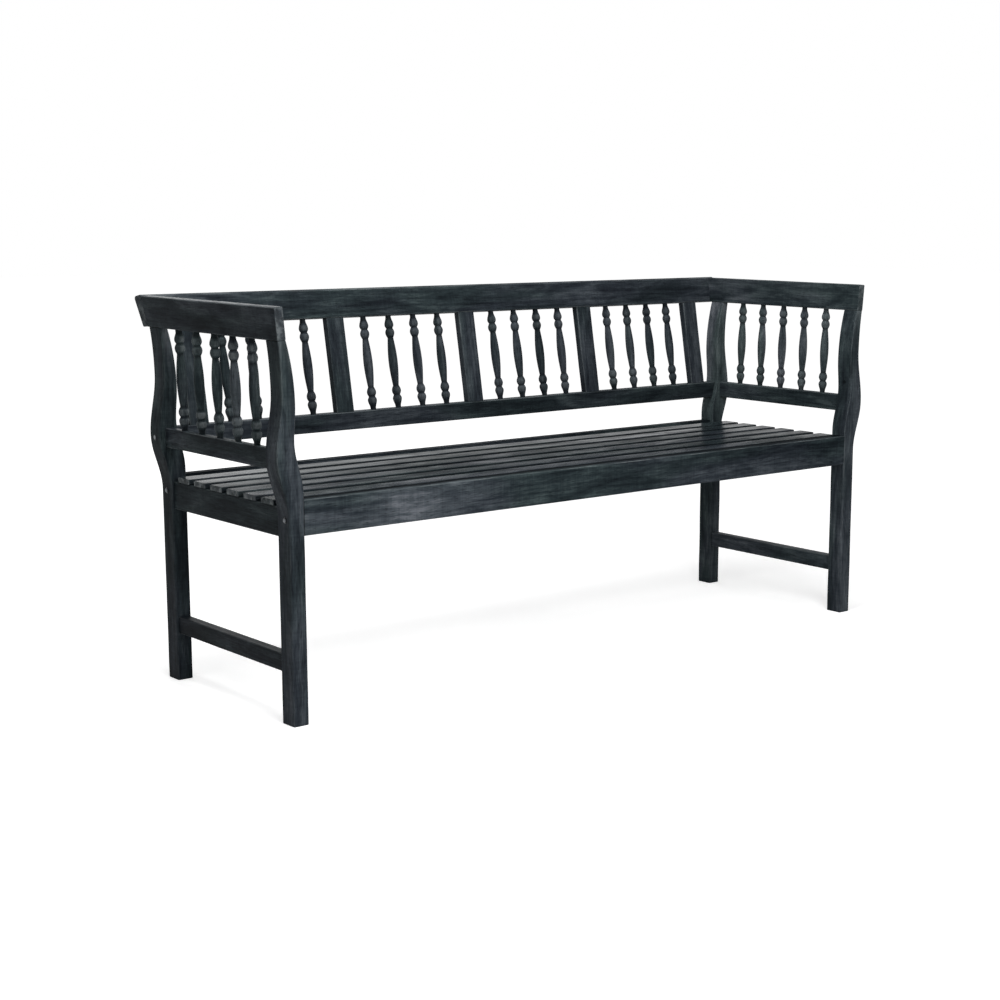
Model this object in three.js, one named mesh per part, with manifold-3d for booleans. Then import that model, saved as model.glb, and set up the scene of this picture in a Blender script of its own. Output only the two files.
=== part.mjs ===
// A deacons bench: four posts that are straight legs below the seat and S-curved arms' posts above it,
// a slatted seat, two arms with turned spindles, and a leaning back of flat stiles and turned spindles
// under a crest rail. Millimetres, +X along the bench, the front towards -Y, +Z up.
// The origin is on the floor, under the middle of the bench's outer box.
import * as THREE from "three";
import { mergeVertices } from "three/addons/utils/BufferGeometryUtils.js";
import Module from "manifold-3d";

const wasm = await Module();
wasm.setup();

// Fit of the joints
const joint_gap = 0.3; // between a cut and what sits in it, and between shoulders and the face they meet
const overrun = 5; // how far a cutter runs past the face that it cuts

// Posts
const leg_span = 1600; // outer face to outer face of the legs, along the bench
const leg_spread = 500; // front face of the front legs to rear face of the rear legs
const leg_width = 34; // along the bench
const leg_depth = 43; // front to back
const outer_curve_drop = 31; // from the slats' tops down to where the outer edge leaves the straight leg
const outer_bulge = 23.2; // how far the outer edge stands out at the arm's lower rail
const outer_bulge_drop = 14; // from the lower rail's top down to the outer edge's widest point
const outer_neck = 9.1;
const outer_neck_drop = 98; // from the post's top down to the outer edge's narrowest point
const outer_flare = 16.5; // at the post's top
const inner_curve_rise = 14; // from the slats' tops up to where the inner edge leaves the straight leg
const inner_bulge = 17.5; // how far the inner edge moves out with it
const inner_bulge_rise = 16; // from the lower rail's top up
const inner_neck = 13.8;
const inner_neck_drop = 121; // from the post's top down
const curve_steps = 8; // steps of each stretch of an edge

// Seat
const slat_top_height = 435;
const slat_thickness = 11;
const slat_width = 46;
const slat_count = 6;
const slat_end_inset = 4; // from the legs' outer faces
const seat_rail_height = 70;
const seat_rail_thickness = 27;
const front_rail_rise = 5; // of the front rail's top over the slats
const rear_rail_rise = 1;
const front_rail_inset = 1; // behind the posts' front faces
const side_rail_height = 58;
const side_rail_thickness = 24;
const bearer_height = 44; // of the bearer under the middle of the slats
const bearer_thickness = 26;

// Stretchers between the legs
const stretcher_bottom = 101;
const stretcher_height = 36;
const stretcher_thickness = 24;

// Arms
const arm_rail_thickness = 19;
const arm_rail_height = 63;
const arm_lean_degrees = 5.2; // outwards
const lower_rail_clearance = 61; // from the slats' tops to the lower rails of the arms and of the back
const lower_rail_height = 40;
const arm_opening_height = 204; // from the lower rail to the arm's top rail, at its outer bottom edge
const arm_lower_rail_thickness = 18;
const arm_spindle_count = 5;
const arm_spindle_margin = 65; // from a post's face to the middle of the spindle next to it

// Back
const back_lean_degrees = 10.2;
const back_lower_rail_thickness = 22;
const crest_rise = 1; // of the crest's foot over the arm's
const crest_height = 65;
const crest_foot_thickness = 20;
const crest_top_thickness = 32;
const crest_front_set = 3.2; // how far the crest's front face falls back from the back's own lean
const crest_round = 5; // radius of the crest's two top edges
const crest_round_steps = 3;
const stile_count = 5;
const end_stile_gap = 19.5; // from the legs' inner faces to the outer stiles
const stile_width = 45;
const stile_thickness = 19;
const bay_spindle_count = 4;
const bay_spindle_margin = 56.5; // from a stile's edge to the middle of the spindle next to it

// Turned spindles
const spindle_radius = 10.8; // at the vase
const spindle_neck_radius = 6; // at both ends, which are the round tenons too
const spindle_tenon_length = 12;
const spindle_sides = 10;
// Height along the visible spindle as a share of that length, and radius as a share of the vase's.
const spindle_shares = [
  [0.03, 0.7], [0.07, 0.92], [0.1, 0.99], [0.138, 0.68], [0.158, 0.88], [0.184, 1], [0.214, 0.86], [0.24, 0.63],
  [0.36, 0.87], [0.49, 1], [0.62, 0.87], [0.757, 0.63], [0.786, 0.86], [0.816, 1], [0.844, 0.88], [0.864, 0.68],
  [0.903, 0.99], [0.93, 0.92], [0.97, 0.7],
];

// Tenons
const tenon_thickness_share = 0.42; // of the piece that carries the tenon
const tenon_height_share = 0.66;
const cross_tenon_length = 18; // of the rails along the bench
const side_tenon_length = 11; // of the pieces that run from front to back
const post_tenon_length = 22; // up into the arm's top rail
const arm_end_tenon_length = 10; // of the arm's top rail into the crest
const stile_tenon_length = 14;
const bearer_tenon_length = 9;

// Bolts through the posts into the ends of the rails
const bolt_head_radius = 4.8;
const bolt_head_height = 2.6;
const bolt_head_seat = 1.2; // how deep the head is let into the post
const bolt_radius = 3;
const bolt_bite = 26; // length in the rail
const bolt_sides = 10;
const bolt_dome_steps = 3;
const front_bolt_rise = 32; // from the rail's underside up
const rear_bolt_rise = 37;

// Finishes
const dark_wood = new THREE.MeshStandardMaterial({ color: 0x4a4f54, roughness: 0.62, metalness: 0 });
const worn_wood = new THREE.MeshStandardMaterial({ color: 0x5d6266, roughness: 0.5, metalness: 0 });
const dull_steel = new THREE.MeshStandardMaterial({ color: 0x55585c, roughness: 0.45, metalness: 0.9 });

// Worked out from the sizes above
const radians = THREE.MathUtils.degToRad;
const back_lean = radians(back_lean_degrees);
const arm_lean = radians(arm_lean_degrees);
const leg_half_span = leg_span / 2;
const leg_middle = leg_half_span - leg_width / 2;
const leg_inner_face = leg_half_span - leg_width;
const slat_bottom_height = slat_top_height - slat_thickness;
const lower_rail_bottom = slat_top_height + lower_rail_clearance;
const lower_rail_top = lower_rail_bottom + lower_rail_height;
const post_height = lower_rail_top + arm_opening_height;
const front_post_rear = leg_depth;
const rear_post_front = leg_spread - leg_depth;
const rear_post_middle = leg_spread - leg_depth / 2;
const opening_between_posts = rear_post_front - front_post_rear;
const lower_rail_middle_height = lower_rail_top - lower_rail_height / 2;
const arm_spindle_pitch = (opening_between_posts - 2 * arm_spindle_margin) / (arm_spindle_count - 1);
const stile_spread = 2 * (leg_inner_face - end_stile_gap) - stile_width;
const stile_pitch = stile_spread / (stile_count - 1);
const bay_spindle_pitch = (stile_pitch - stile_width - 2 * bay_spindle_margin) / (bay_spindle_count - 1);

// The back leans about the middle of its lower rail's top. A point is given along the lean and behind it.
function backPoint(along, behind) {
  const y = rear_post_middle + along * Math.sin(back_lean) + behind * Math.cos(back_lean);
  const z = lower_rail_top + along * Math.cos(back_lean) - behind * Math.sin(back_lean);
  return new THREE.Vector2(y, z);
}
const back_length = (arm_opening_height + crest_rise) / Math.cos(back_lean);
const crest_front_foot = backPoint(back_length, -crest_foot_thickness / 2);
const crest_front_top = backPoint(back_length + crest_height, crest_front_set - crest_foot_thickness / 2);
const crest_rear_top = backPoint(
  back_length + crest_height,
  crest_front_set - crest_foot_thickness / 2 + crest_top_thickness,
);
const crest_rear_foot = backPoint(back_length, crest_foot_thickness / 2);

// The crest's section: thicker at the top, with its two top edges rounded. Nothing reaches further back.
function roundedCorner(before, corner, after) {
  const enter = corner.clone().add(before.clone().sub(corner).setLength(crest_round));
  const leave = corner.clone().add(after.clone().sub(corner).setLength(crest_round));
  return new THREE.QuadraticBezierCurve(enter, corner, leave).getPoints(crest_round_steps);
}
const crest_section = [
  crest_rear_foot,
  crest_front_foot,
  ...roundedCorner(crest_front_foot, crest_front_top, crest_rear_top),
  ...roundedCorner(crest_front_top, crest_rear_top, crest_rear_foot),
];
const overall_depth = Math.max(...crest_section.map((point) => point.x));

// The arm's top rail leans outwards about its outer bottom edge.
const arm_foot = leg_half_span + outer_flare;
function armPoint(up, inward) {
  const x = arm_foot + up * Math.sin(arm_lean) - inward * Math.cos(arm_lean);
  const z = post_height + up * Math.cos(arm_lean) + inward * Math.sin(arm_lean);
  return new THREE.Vector2(x, z);
}

// The whole bench, with the front of the front posts at y = 0 until the group moves it to the middle.
const bench = new THREE.Group();
bench.position.y = -overall_depth / 2;
bench.updateMatrixWorld(true);

function addPiece(name, geometry, material) {
  const piece = new THREE.Mesh(geometry, material);
  piece.name = name;
  bench.add(piece);
  return piece;
}

function sideName(side) {
  return side < 0 ? "left" : "right";
}

// Solids for joining and cutting, in the space of the piece that is worked on.
function solidIn(frame, shape) {
  shape.updateWorldMatrix(true, false);
  frame.updateWorldMatrix(true, false);
  const into = frame.matrixWorld.clone().invert().multiply(shape.matrixWorld);
  const open = shape.geometry.clone().applyMatrix4(into);
  open.deleteAttribute("normal");
  open.deleteAttribute("uv");
  const merged = mergeVertices(open);
  return new wasm.Manifold(
    new wasm.Mesh({
      numProp: 3,
      vertProperties: merged.getAttribute("position").array,
      triVerts: new Uint32Array(merged.index.array),
    }),
  );
}

function geometryOf(solid) {
  const mesh = solid.getMesh();
  const geometry = new THREE.BufferGeometry();
  geometry.setAttribute("position", new THREE.BufferAttribute(mesh.vertProperties, mesh.numProp));
  geometry.setIndex(new THREE.BufferAttribute(mesh.triVerts, 1));
  geometry.computeVertexNormals();
  return geometry;
}

function join(piece, shapes) {
  let solid = solidIn(piece, piece);
  for (const shape of shapes) solid = solid.add(solidIn(piece, shape));
  piece.geometry = geometryOf(solid);
}

function carve(piece, shapes) {
  let solid = solidIn(piece, piece);
  for (const shape of shapes) solid = solid.subtract(solidIn(piece, shape));
  piece.geometry = geometryOf(solid);
}

// A loose box in the bench's space, used as a tenon or, grown by the joint gap, as its mortise.
function block(size, centre, turn = [0, 0, 0], grow = 0) {
  const box = new THREE.BoxGeometry(size[0] + 2 * grow, size[1] + 2 * grow, size[2] + 2 * grow);
  const shape = new THREE.Mesh(box);
  shape.position.set(...centre);
  shape.rotation.set(...turn);
  shape.position.y += bench.position.y;
  return shape;
}

// A tenon that runs half into its own piece and half into the other one.
function mortiseAndTenon(carrier, receiver, size, centre, turn) {
  join(carrier, [block(size, centre, turn)]);
  carve(receiver, [block(size, centre, turn, joint_gap)]);
}

function outline(points) {
  return new THREE.Shape(points);
}

// A flat outline in x and z, extruded from front to back between two depths.
function extrudeBack(points, front, rear) {
  const geometry = new THREE.ExtrudeGeometry(outline(points), { depth: rear - front, bevelEnabled: false });
  geometry.rotateX(Math.PI / 2);
  geometry.translate(0, rear, 0);
  return geometry;
}

// A flat outline in y and z, extruded along the bench and centred on x = 0.
function extrudeAlong(points, length) {
  const geometry = new THREE.ExtrudeGeometry(outline(points), { depth: length, bevelEnabled: false });
  geometry.translate(0, 0, -length / 2);
  geometry.rotateY(Math.PI / 2);
  geometry.rotateX(Math.PI / 2);
  return geometry;
}

// Half a cosine wave from one station of an edge to the next.
function easedEdge(from, to) {
  const points = [];
  for (let step = 1; step <= curve_steps; step++) {
    const share = step / curve_steps;
    const ease = (1 - Math.cos(Math.PI * share)) / 2;
    points.push([from[0] + (to[0] - from[0]) * ease, from[1] + (to[1] - from[1]) * share]);
  }
  return points;
}

// The flare at an edge's top, which grows with the square of the height over the neck.
function flaredEdge(from, to) {
  const points = [];
  for (let step = 1; step <= curve_steps; step++) {
    const share = step / curve_steps;
    points.push([from[0] + (to[0] - from[0]) * share * share, from[1] + (to[1] - from[1]) * share]);
  }
  return points;
}

// The two long edges of a post, as distance from the bench's middle and height.
function postEdges() {
  const top_outer = armPoint(-joint_gap, 0);
  const top_inner = armPoint(-joint_gap, arm_rail_thickness);
  const outer = [
    [leg_half_span, slat_top_height - outer_curve_drop],
    [leg_half_span + outer_bulge, lower_rail_top - outer_bulge_drop],
    [leg_half_span + outer_neck, post_height - outer_neck_drop],
    [top_outer.x, top_outer.y],
  ];
  const inner = [
    [leg_inner_face, slat_top_height + inner_curve_rise],
    [leg_inner_face + inner_bulge, lower_rail_top + inner_bulge_rise],
    [leg_inner_face + inner_neck, post_height - inner_neck_drop],
    [top_inner.x, top_inner.y],
  ];
  return [outer, inner].map((stations) => [
    [stations[0][0], 0],
    stations[0],
    ...easedEdge(stations[0], stations[1]),
    ...easedEdge(stations[1], stations[2]),
    ...flaredEdge(stations[2], stations[3]),
  ]);
}
const [post_outer_edge, post_inner_edge] = postEdges();

// Where an edge of the post lies at a height.
function edgeAt(edge, height) {
  const above = edge.findIndex((point, index) => index > 0 && point[1] >= height);
  const upper = edge[above < 0 ? edge.length - 1 : above];
  const lower = edge[above < 0 ? edge.length - 2 : above - 1];
  const share = (height - lower[1]) / (upper[1] - lower[1]);
  return lower[0] + (upper[0] - lower[0]) * share;
}

function postOutline(side, grow = 0) {
  const outer = post_outer_edge.map(([x, z]) => new THREE.Vector2(side * (x + grow), z));
  const inner = post_inner_edge.map(([x, z]) => new THREE.Vector2(side * (x - grow), z));
  return [...outer, ...inner.reverse()];
}

function makePost(name, side, front) {
  return addPiece(name, extrudeBack(postOutline(side), front, front + leg_depth), dark_wood);
}
const posts = {};
for (const side of [-1, 1]) {
  posts[`front_${side}`] = makePost(`front_post_${sideName(side)}`, side, 0);
  posts[`rear_${side}`] = makePost(`rear_post_${sideName(side)}`, side, rear_post_front);
}

// A rail along the bench: a board cut to the two posts' inner edges, with a tenon in each.
function makeCrossRail(name, row, size, middle_depth, bottom) {
  const middle_height = bottom + size.height / 2;
  const blank = new THREE.BoxGeometry(leg_middle * 2, size.thickness, size.height);
  blank.translate(0, middle_depth, middle_height);
  const rail = addPiece(name, blank, dark_wood);
  for (const side of [-1, 1]) {
    const post = posts[`${row}_${side}`];
    const reach = size.thickness;
    const scribe = new THREE.Mesh(
      extrudeBack(postOutline(side, joint_gap), middle_depth - reach, middle_depth + reach),
    );
    scribe.position.copy(bench.position);
    carve(rail, [scribe]);
    const shoulder = edgeAt(post_inner_edge, middle_height);
    const tenon = [
      2 * cross_tenon_length,
      size.thickness * tenon_thickness_share,
      size.height * tenon_height_share,
    ];
    mortiseAndTenon(rail, post, tenon, [side * shoulder, middle_depth, middle_height]);
  }
  return rail;
}
const seat_rail_size = { thickness: seat_rail_thickness, height: seat_rail_height };
const front_rail_middle = front_rail_inset + seat_rail_thickness / 2;
const front_rail_bottom = slat_top_height + front_rail_rise - seat_rail_height;
const rear_rail_bottom = slat_top_height + rear_rail_rise - seat_rail_height;
const front_rail = makeCrossRail(
  "front_seat_rail",
  "front",
  seat_rail_size,
  front_rail_middle,
  front_rail_bottom,
);
const rear_rail = makeCrossRail(
  "rear_seat_rail",
  "rear",
  seat_rail_size,
  rear_post_middle,
  rear_rail_bottom,
);
const back_lower_rail = makeCrossRail(
  "back_lower_rail",
  "rear",
  { thickness: back_lower_rail_thickness, height: lower_rail_height },
  rear_post_middle,
  lower_rail_bottom,
);

// A board from a front post to the rear post behind it, with a tenon in each.
function makeSideBoard(name, side, size, middle, bottom) {
  const length = opening_between_posts - 2 * joint_gap;
  const middle_height = bottom + size.height / 2;
  const board = addPiece(name, new THREE.BoxGeometry(size.thickness, length, size.height), dark_wood);
  board.position.set(side * middle, front_post_rear + opening_between_posts / 2, middle_height);
  const tenon = [
    size.thickness * tenon_thickness_share,
    2 * side_tenon_length,
    size.height * tenon_height_share,
  ];
  mortiseAndTenon(board, posts[`front_${side}`], tenon, [side * middle, front_post_rear, middle_height]);
  mortiseAndTenon(board, posts[`rear_${side}`], tenon, [side * middle, rear_post_front, middle_height]);
  return board;
}
const bulge_outer = edgeAt(post_outer_edge, lower_rail_middle_height);
const bulge_inner = edgeAt(post_inner_edge, lower_rail_middle_height);
const arm_lower_rail_middle = (bulge_outer + bulge_inner) / 2;
const arm_lower_rails = {};
for (const side of [-1, 1]) {
  const hand = sideName(side);
  makeSideBoard(
    `side_seat_rail_${hand}`,
    side,
    { thickness: side_rail_thickness, height: side_rail_height },
    leg_middle,
    slat_bottom_height - joint_gap - side_rail_height,
  );
  makeSideBoard(
    `side_stretcher_${hand}`,
    side,
    { thickness: stretcher_thickness, height: stretcher_height },
    leg_middle,
    stretcher_bottom,
  );
  arm_lower_rails[side] = makeSideBoard(
    `arm_lower_rail_${hand}`,
    side,
    { thickness: arm_lower_rail_thickness, height: lower_rail_height },
    arm_lower_rail_middle,
    lower_rail_bottom,
  );
}

// The bearer under the middle of the slats, from the front rail to the rear rail.
function makeBearer() {
  const front = front_rail_inset + seat_rail_thickness + joint_gap;
  const rear = rear_post_middle - seat_rail_thickness / 2 - joint_gap;
  const middle_height = slat_bottom_height - joint_gap - bearer_height / 2;
  const bearer = addPiece(
    "centre_seat_bearer",
    new THREE.BoxGeometry(bearer_thickness, rear - front, bearer_height),
    dark_wood,
  );
  bearer.position.set(0, (front + rear) / 2, middle_height);
  const tenon = [
    bearer_thickness * tenon_thickness_share,
    2 * bearer_tenon_length,
    bearer_height * tenon_height_share,
  ];
  mortiseAndTenon(bearer, front_rail, tenon, [0, front, middle_height]);
  mortiseAndTenon(bearer, rear_rail, tenon, [0, rear, middle_height]);
}
makeBearer();

// Seat slats, spaced evenly between the front and the rear posts, numbered from the back.
function makeSlats() {
  const gap = (opening_between_posts - slat_count * slat_width) / (slat_count + 1);
  const length = 2 * (leg_half_span - slat_end_inset);
  for (let index = 1; index <= slat_count; index++) {
    const slat = addPiece(
      `seat_slat_${index}`,
      new THREE.BoxGeometry(length, slat_width, slat_thickness),
      worn_wood,
    );
    const middle = rear_post_front - index * (gap + slat_width) + slat_width / 2;
    slat.position.set(0, middle, slat_top_height - slat_thickness / 2);
  }
}
makeSlats();

// The depth of the crest's front face at a height.
function crestFrontAt(height) {
  const share = (height - crest_front_foot.y) / (crest_front_top.y - crest_front_foot.y);
  return crest_front_foot.x + (crest_front_top.x - crest_front_foot.x) * share;
}

// The distance of the arm's outer face from the bench's middle at a height.
function armOuterAt(height) {
  return arm_foot + (height - post_height) * Math.tan(arm_lean);
}

// The crest rail, whose ends are flush with the arms' outer faces.
function makeCrest() {
  const geometry = extrudeAlong(crest_section, 2 * arm_foot);
  const place = geometry.getAttribute("position");
  for (let index = 0; index < place.count; index++) {
    place.setX(index, Math.sign(place.getX(index)) * armOuterAt(place.getZ(index)));
  }
  return addPiece("back_top_rail", geometry, dark_wood);
}
const crest = makeCrest();

// An arm's top rail: a tall board on its edge, from the front face of the front post to the crest.
function makeArmRail(side) {
  const corners = [
    armPoint(0, 0),
    armPoint(arm_rail_height, 0),
    armPoint(arm_rail_height, arm_rail_thickness),
    armPoint(0, arm_rail_thickness),
  ].map((corner) => new THREE.Vector2(side * corner.x, corner.y));
  const geometry = extrudeBack(corners, 0, overall_depth);
  const corner = geometry.getAttribute("position");
  for (let index = 0; index < corner.count; index++) {
    if (corner.getY(index) > overall_depth / 2) {
      corner.setY(index, crestFrontAt(corner.getZ(index)) - joint_gap);
    }
  }
  const rail = addPiece(`arm_top_rail_${sideName(side)}`, geometry, dark_wood);

  const turn = [0, side * arm_lean, 0];
  const post_tenon = [
    arm_rail_thickness * tenon_thickness_share,
    leg_depth * tenon_height_share,
    2 * post_tenon_length,
  ];
  const foot = armPoint(0, arm_rail_thickness / 2);
  for (const [row, front] of [["front", 0], ["rear", rear_post_front]]) {
    const place = [side * foot.x, front + leg_depth / 2, foot.y];
    mortiseAndTenon(posts[`${row}_${side}`], rail, post_tenon, place, turn);
  }

  const end_tenon = [
    arm_rail_thickness * tenon_thickness_share,
    2 * arm_end_tenon_length,
    arm_rail_height * tenon_height_share,
  ];
  const end = armPoint(arm_rail_height / 2, arm_rail_thickness / 2);
  mortiseAndTenon(rail, crest, end_tenon, [side * end.x, crestFrontAt(end.y), end.y], turn);
  return rail;
}
const arm_rails = { [-1]: makeArmRail(-1), 1: makeArmRail(1) };

// A stile of the back: its foot is cut level to stand on the lower rail, its head square to the lean.
function makeStile(number, middle) {
  const half = stile_thickness / 2;
  const head = back_length - joint_gap;
  const slant = half * Math.tan(back_lean);
  const clear = joint_gap / Math.cos(back_lean);
  const side_view = [
    backPoint(clear - slant, -half),
    backPoint(head, -half),
    backPoint(head, half),
    backPoint(clear + slant, half),
  ];
  const geometry = extrudeAlong(side_view, stile_width);
  geometry.translate(middle, 0, 0);
  const stile = addPiece(`back_stile_${number}`, geometry, dark_wood);
  const tenon = [
    stile_width * tenon_height_share,
    stile_thickness * tenon_thickness_share,
    2 * stile_tenon_length,
  ];
  for (const [rail, along] of [[back_lower_rail, 0], [crest, back_length]]) {
    const at = backPoint(along, 0);
    mortiseAndTenon(stile, rail, tenon, [middle, at.x, at.y], [-back_lean, 0, 0]);
  }
}
for (let index = 0; index < stile_count; index++) {
  makeStile(index + 1, (index - (stile_count - 1) / 2) * stile_pitch);
}

// A turned spindle between two points. Its necks go on into round sockets at both ends.
function makeSpindle(name, from, to, lower_rail, upper_rail) {
  const length = from.distanceTo(to);
  const ends = [
    new THREE.Vector2(0, -spindle_tenon_length),
    new THREE.Vector2(spindle_neck_radius, -spindle_tenon_length),
    new THREE.Vector2(spindle_neck_radius, 0),
  ];
  const body = spindle_shares.map(
    ([along, radius]) => new THREE.Vector2(radius * spindle_radius, along * length),
  );
  const far_ends = [
    new THREE.Vector2(spindle_neck_radius, length),
    new THREE.Vector2(spindle_neck_radius, length + spindle_tenon_length),
    new THREE.Vector2(0, length + spindle_tenon_length),
  ];
  const spindle = addPiece(
    name,
    new THREE.LatheGeometry([...ends, ...body, ...far_ends], spindle_sides),
    dark_wood,
  );
  const axis = to.clone().sub(from).normalize();
  spindle.quaternion.setFromUnitVectors(new THREE.Vector3(0, 1, 0), axis);
  spindle.position.copy(from);

  const socket_depth = spindle_tenon_length + joint_gap;
  for (const [rail, place, way] of [[lower_rail, from, -1], [upper_rail, to, 1]]) {
    const socket = new THREE.Mesh(
      new THREE.CylinderGeometry(
        spindle_neck_radius + joint_gap,
        spindle_neck_radius + joint_gap,
        socket_depth + overrun,
        spindle_sides,
      ),
    );
    socket.quaternion.copy(spindle.quaternion);
    socket.position.copy(place).addScaledVector(axis, (way * (socket_depth - overrun)) / 2);
    socket.position.add(bench.position);
    carve(rail, [socket]);
  }
}

function makeArmSpindles(side) {
  const foot = armPoint(0, arm_rail_thickness / 2);
  for (let index = 0; index < arm_spindle_count; index++) {
    const depth = leg_spread / 2 + (index - (arm_spindle_count - 1) / 2) * arm_spindle_pitch;
    makeSpindle(
      `arm_spindle_${sideName(side)}_${index + 1}`,
      new THREE.Vector3(side * arm_lower_rail_middle, depth, lower_rail_top),
      new THREE.Vector3(side * foot.x, depth, foot.y),
      arm_lower_rails[side],
      arm_rails[side],
    );
  }
}
makeArmSpindles(-1);
makeArmSpindles(1);

function makeBackSpindles() {
  const foot = backPoint(0, 0);
  const head = backPoint(back_length, 0);
  let number = 0;
  for (let bay = 0; bay < stile_count - 1; bay++) {
    const bay_middle = (bay - (stile_count - 2) / 2) * stile_pitch;
    for (let index = 0; index < bay_spindle_count; index++) {
      number += 1;
      const along = bay_middle + (index - (bay_spindle_count - 1) / 2) * bay_spindle_pitch;
      makeSpindle(
        `back_spindle_${number}`,
        new THREE.Vector3(along, foot.x, foot.y),
        new THREE.Vector3(along, head.x, head.y),
        back_lower_rail,
        crest,
      );
    }
  }
}
makeBackSpindles();

// A bolt along the bench: a domed head let into the post's outer face, and a shank into the rail's end.
function boltProfile(shank) {
  const profile = [
    new THREE.Vector2(0, -shank),
    new THREE.Vector2(bolt_radius, -shank),
    new THREE.Vector2(bolt_radius, 0),
  ];
  for (let step = 0; step < bolt_dome_steps; step++) {
    const turn = (Math.PI / 2) * (step / bolt_dome_steps);
    profile.push(new THREE.Vector2(bolt_head_radius * Math.cos(turn), bolt_head_height * Math.sin(turn)));
  }
  profile.push(new THREE.Vector2(0, bolt_head_height));
  return profile;
}

// The stepped bore for a bolt, with the joint gap all round.
function boreProfile(shank) {
  return [
    new THREE.Vector2(0, -shank - joint_gap),
    new THREE.Vector2(bolt_radius + joint_gap, -shank - joint_gap),
    new THREE.Vector2(bolt_radius + joint_gap, -joint_gap),
    new THREE.Vector2(bolt_head_radius + joint_gap, -joint_gap),
    new THREE.Vector2(bolt_head_radius + joint_gap, bolt_head_height + overrun),
    new THREE.Vector2(0, bolt_head_height + overrun),
  ];
}

function makeBolt(name, side, row, rail, depth, height) {
  const seat = edgeAt(post_outer_edge, height) - bolt_head_seat;
  const shank = seat - edgeAt(post_inner_edge, height) + bolt_bite;
  const bolt = addPiece(name, new THREE.LatheGeometry(boltProfile(shank), bolt_sides), dull_steel);
  bolt.position.set(side * seat, depth, height);
  bolt.rotation.z = (-side * Math.PI) / 2;
  const bore = new THREE.Mesh(new THREE.LatheGeometry(boreProfile(shank), bolt_sides));
  bore.position.copy(bolt.position).add(bench.position);
  bore.rotation.copy(bolt.rotation);
  carve(posts[`${row}_${side}`], [bore]);
  carve(rail, [bore]);
}
for (const side of [-1, 1]) {
  const hand = sideName(side);
  const front_bolt_height = front_rail_bottom + front_bolt_rise;
  const rear_bolt_height = rear_rail_bottom + rear_bolt_rise;
  const back_bolt_height = lower_rail_middle_height;
  makeBolt(`front_rail_bolt_${hand}`, side, "front", front_rail, front_rail_middle, front_bolt_height);
  makeBolt(`rear_rail_bolt_${hand}`, side, "rear", rear_rail, rear_post_middle, rear_bolt_height);
  makeBolt(`back_rail_bolt_${hand}`, side, "rear", back_lower_rail, rear_post_middle, back_bolt_height);
}

export default bench;
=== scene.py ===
# %% [markdown]
# # A dark slatted bench with turned spindles
#
# The bench is nothing but wood: four posts that are straight legs below the seat and swell into S-curved arm
# posts above it, flat rails and slats, and slim turned spindles under the arms' rails and the crest rail. The
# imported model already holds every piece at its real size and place, so it is loaded first, and each new piece
# takes its place from it.

# %% Load the frame
import math

import bpy
import numpy as np
from mathutils import Matrix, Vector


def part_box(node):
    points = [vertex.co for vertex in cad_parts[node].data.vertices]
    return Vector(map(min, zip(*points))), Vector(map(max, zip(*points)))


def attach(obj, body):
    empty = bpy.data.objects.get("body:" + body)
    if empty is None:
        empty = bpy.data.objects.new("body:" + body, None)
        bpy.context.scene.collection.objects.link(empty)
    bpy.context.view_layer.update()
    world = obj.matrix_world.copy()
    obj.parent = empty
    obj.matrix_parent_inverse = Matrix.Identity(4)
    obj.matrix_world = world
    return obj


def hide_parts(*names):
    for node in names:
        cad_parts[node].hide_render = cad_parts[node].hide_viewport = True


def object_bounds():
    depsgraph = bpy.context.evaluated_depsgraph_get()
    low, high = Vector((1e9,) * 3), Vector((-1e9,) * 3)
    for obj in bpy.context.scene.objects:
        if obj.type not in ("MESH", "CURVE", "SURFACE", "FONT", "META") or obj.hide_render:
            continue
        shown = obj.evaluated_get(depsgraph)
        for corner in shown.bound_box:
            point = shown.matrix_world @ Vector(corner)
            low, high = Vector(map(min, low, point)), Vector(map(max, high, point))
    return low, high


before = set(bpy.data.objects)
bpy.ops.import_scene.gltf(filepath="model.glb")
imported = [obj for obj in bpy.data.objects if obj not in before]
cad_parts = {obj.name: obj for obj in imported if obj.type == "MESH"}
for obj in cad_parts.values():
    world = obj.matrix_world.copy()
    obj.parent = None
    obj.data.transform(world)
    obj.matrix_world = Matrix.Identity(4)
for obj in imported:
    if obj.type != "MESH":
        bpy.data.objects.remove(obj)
cad_box = [list(corner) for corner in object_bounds()]
scene = bpy.context.scene
mm = 0.001  # every size below is written in millimetres times this
print("packed model, metres:", [round(high - low, 4) for low, high in zip(*cad_box)])

# %% [markdown]
# ## The camera
#
# The camera stands in front of the bench's left end, a little over the height of its arms, and looks along
# it. Its place, its turn and its focal length were solved from corners of the bench in the photograph. A
# small shift moves the bench to the photograph's place in the frame without turning the camera.

# %% Camera
camera_place = (-2566.1 * mm, -3175.0 * mm, 991.5 * mm)
camera_yaw = math.radians(40.603)  # from +Y towards +X
camera_pitch = math.radians(-10.132)
camera_roll = math.radians(0.256)
focal_pixels = 1810.3
image_pixels = 1000
principal_pixel = (580, 527.8)  # where the line of sight that is square to the picture meets it


def camera_axes(yaw, pitch, roll):
    """The camera's right and up directions and the way it looks, as unit vectors."""
    ahead = np.array([math.sin(yaw) * math.cos(pitch), math.cos(yaw) * math.cos(pitch), math.sin(pitch)])
    level = np.array([math.cos(yaw), -math.sin(yaw), 0])
    above = np.cross(level, ahead)
    right = math.cos(roll) * level + math.sin(roll) * above
    up = math.cos(roll) * above - math.sin(roll) * level
    return right, up, ahead


def facing(right, up, ahead, place):
    """The matrix of a camera or a lamp, which both look along their own -Z."""
    matrix = np.eye(4)
    matrix[:3, :3] = np.stack([right, up, -ahead], axis=1)
    matrix[:3, 3] = place
    return Matrix(matrix.tolist())


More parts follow.
